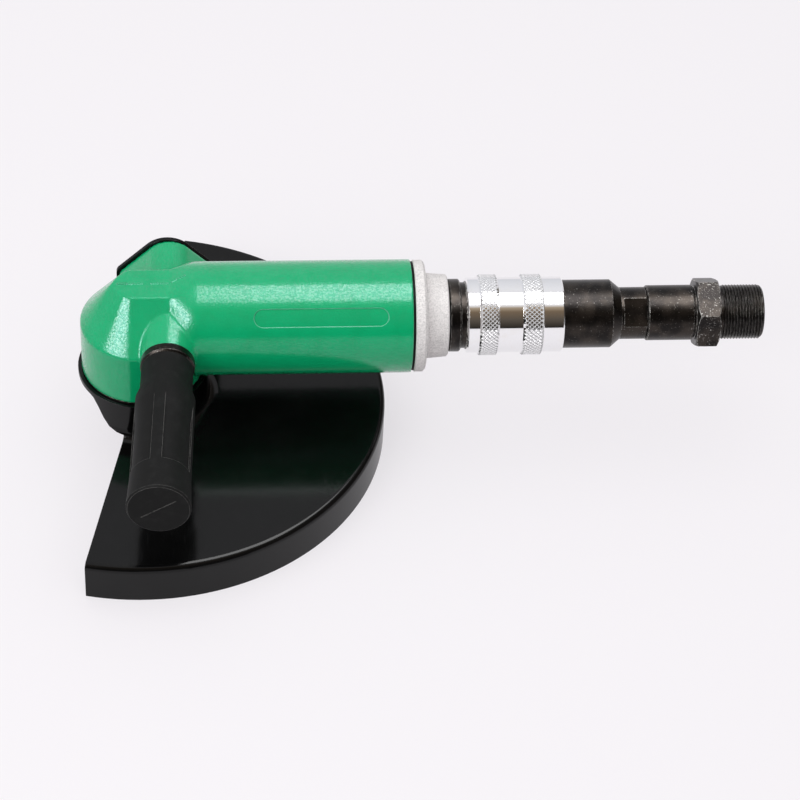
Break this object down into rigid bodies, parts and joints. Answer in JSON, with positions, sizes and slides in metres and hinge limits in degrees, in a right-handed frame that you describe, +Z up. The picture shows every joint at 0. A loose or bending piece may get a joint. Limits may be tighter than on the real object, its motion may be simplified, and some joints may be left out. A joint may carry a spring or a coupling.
{
  "type": "air angle grinder",
  "caption": "Air angle grinder with a faceted gear head, half guard, rubber side handle, knurled throttle sleeve and threaded hose end; it drives a disc through bevel gears.",
  "frame": {"origin": "centre of the wheel seat on the spindle axis, at the flange's lower face", "axes": "+X along the motor axis towards the hose end, +Z up the spindle away from the wheel"},
  "size_m": [0.3393, 0.2502, 0.0995],
  "materials": {
    "green_enamel": "glossy cast enamel",
    "black_gloss": "glossy black paint",
    "cast_grey": "bead-blasted cast aluminium",
    "chrome_plate": "bright chrome plate",
    "black_oxide": "oiled black oxide steel",
    "grip_rubber": "matte black rubber",
    "seal_rubber": "black seal rubber",
    "ground_steel": "ground steel",
    "motor_iron": "machined cast iron",
    "vane_fibre": "phenolic fibre",
    "strainer_brass": "drawn brass"
  },
  "bodies": {
    "tool_body": {"motor_housing": "green_enamel", "side_cover": "black_gloss", "side_cover_screws": "black_oxide", "bearing_cap": "black_oxide", "bearing_cap_screws": "black_oxide", "bearing_retainer": "ground_steel", "spindle_seal": "seal_rubber", "lower_bearing_outer_ring": "ground_steel", "needle_shell": "ground_steel", "front_bearing_outer_ring": "ground_steel", "rear_bearing_outer_ring": "ground_steel", "front_end_plate": "motor_iron", "motor_cylinder": "motor_iron", "rear_end_plate": "motor_iron", "exhaust_ring": "seal_rubber", "exhaust_collar": "cast_grey", "valve_body": "black_oxide", "sleeve_o_rings": "seal_rubber", "inlet_bush": "black_oxide", "inlet_strainer": "strainer_brass", "handle_stud": "ground_steel", "handle_collar": "black_oxide", "handle_grip": "grip_rubber"},
    "throttle_set": {"throttle_sleeve": "chrome_plate"},
    "guard_set": {"guard": "black_gloss", "guard_clamp_screw": "black_oxide", "guard_clamp_nut": "black_oxide"},
    "spindle_set": {"spindle": "ground_steel", "inner_flange": "ground_steel", "bevel_gear": "ground_steel", "gear_circlip": "ground_steel", "needle_set": "ground_steel", "lower_bearing_inner_ring": "ground_steel", "lower_bearing_balls": "ground_steel"},
    "rotor_set": {"rotor": "ground_steel", "rotor_vanes": "vane_fibre", "bevel_pinion": "ground_steel", "rotor_nut": "ground_steel", "front_bearing_inner_ring": "ground_steel", "front_bearing_balls": "ground_steel", "rear_bearing_inner_ring": "ground_steel", "rear_bearing_balls": "ground_steel"}
  },
  "joints": [
    {"name": "rotor_spin", "type": "hinge", "parent": "tool_body", "child": "rotor_set", "pos_m": [0.08, 0, 0.059], "axis": [1, 0, 0], "continuous": true},
    {"name": "spindle_spin", "type": "hinge", "parent": "tool_body", "child": "spindle_set", "pos_m": [0, 0, 0.02], "axis": [0, 0, 1], "continuous": true},
    {"name": "throttle_slide", "type": "slide", "parent": "tool_body", "child": "throttle_set", "axis": [1, 0, 0], "range_m": [0, 0.008]},
    {"name": "guard_swivel", "type": "hinge", "parent": "tool_body", "child": "guard_set", "pos_m": [0, 0, 0.027], "axis": [0, 0, 1], "range_deg": [-90, 90]}
  ],
  "couplings": [
    {"joint": "spindle_spin", "follows": "rotor_spin", "ratio": 0.48148}
  ]
}
